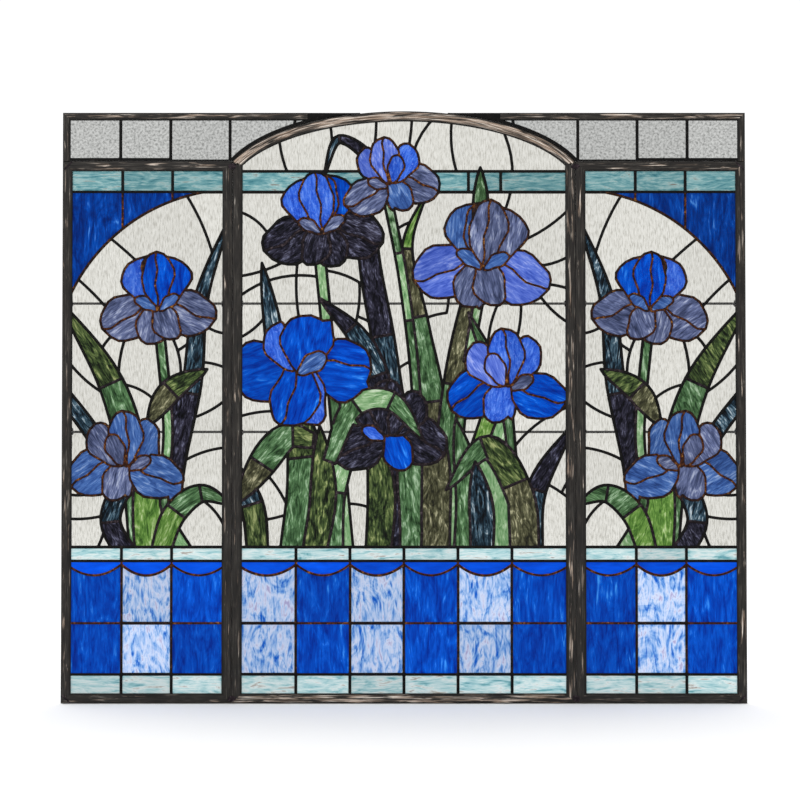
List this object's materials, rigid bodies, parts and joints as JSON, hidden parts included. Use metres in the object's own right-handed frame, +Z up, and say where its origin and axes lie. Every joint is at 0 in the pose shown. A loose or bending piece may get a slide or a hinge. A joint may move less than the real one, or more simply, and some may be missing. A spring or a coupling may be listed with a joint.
{
  "type": "stained glass window panel",
  "caption": "Wide leaded glass panel with an arched centre light between two square-headed side lights, in metal came frames with back bars.",
  "frame": {"origin": "middle of the centre light's bottom came, on its flat underside, where the panel stands in a sill rebate", "axes": "+X along the width to the right as seen from the front, +Z up, front faces -Y, back with the bars faces +Y"},
  "size_m": [0.8686, 0.0107, 0.752],
  "materials": {
    "zinc_came": "patinated zinc, satin",
    "solder_line": "black and copper patina over solder",
    "steel_bar": "plain drawn bar",
    "clear_glass": "fine vertical ripple",
    "granite_glass": "stippled",
    "aqua_glass": "streaky",
    "cobalt_glass": "streaky",
    "white_glass": "streaky",
    "petal_glass": "streaky along each petal",
    "leaf_glass": "mottled along each leaf",
    "dark_glass": "rippled"
  },
  "bodies": {
    "root": {"left_wing_outer_stile": "zinc_came", "left_wing_head": "zinc_came", "left_wing_inner_stile": "zinc_came", "left_wing_sill": "zinc_came", "right_wing_outer_stile": "zinc_came", "right_wing_head": "zinc_came", "right_wing_inner_stile": "zinc_came", "right_wing_sill": "zinc_came", "centre_left_stile": "zinc_came", "centre_arch": "zinc_came", "centre_right_stile": "zinc_came", "centre_sill": "zinc_came", "left_corner_side": "zinc_came", "right_corner_side": "zinc_came", "left_corner_top": "zinc_came", "right_corner_top": "zinc_came", "left_corner_wedge": "solder_line", "right_corner_wedge": "solder_line", "left_wing_bottom_strip": "aqua_glass", "right_wing_bottom_strip": "aqua_glass", "left_wing_skirt_1": "cobalt_glass", "right_wing_skirt_1": "cobalt_glass", "left_wing_skirt_2": "white_glass", "right_wing_skirt_2": "white_glass", "left_wing_skirt_3": "cobalt_glass", "right_wing_skirt_3": "cobalt_glass", "left_wing_middle_strip": "aqua_glass", "right_wing_middle_strip": "aqua_glass", "left_wing_field": "clear_glass", "right_wing_field": "clear_glass", "left_wing_spandrel": "cobalt_glass", "right_wing_spandrel": "cobalt_glass", "left_wing_top_strip": "aqua_glass", "right_wing_top_strip": "aqua_glass", "centre_bottom_strip": "aqua_glass", "centre_skirt_1": "white_glass", "centre_skirt_2": "cobalt_glass", "centre_skirt_3": "white_glass", "centre_skirt_4": "cobalt_glass", "centre_skirt_5": "white_glass", "centre_skirt_6": "cobalt_glass", "centre_middle_strip": "aqua_glass", "centre_field": "clear_glass", "left_corner_glass": "granite_glass", "right_corner_glass": "granite_glass", "left_wing_leading": "solder_line", "right_wing_leading": "solder_line", "centre_leading": "solder_line", "left_corner_leading": "solder_line", "right_corner_leading": "solder_line", "left_wing_lower_bar": "steel_bar", "centre_lower_bar": "steel_bar", "right_wing_lower_bar": "steel_bar", "left_wing_upper_bar": "steel_bar", "centre_upper_bar": "steel_bar", "right_wing_upper_bar": "steel_bar"}
  },
  "joints": []
}
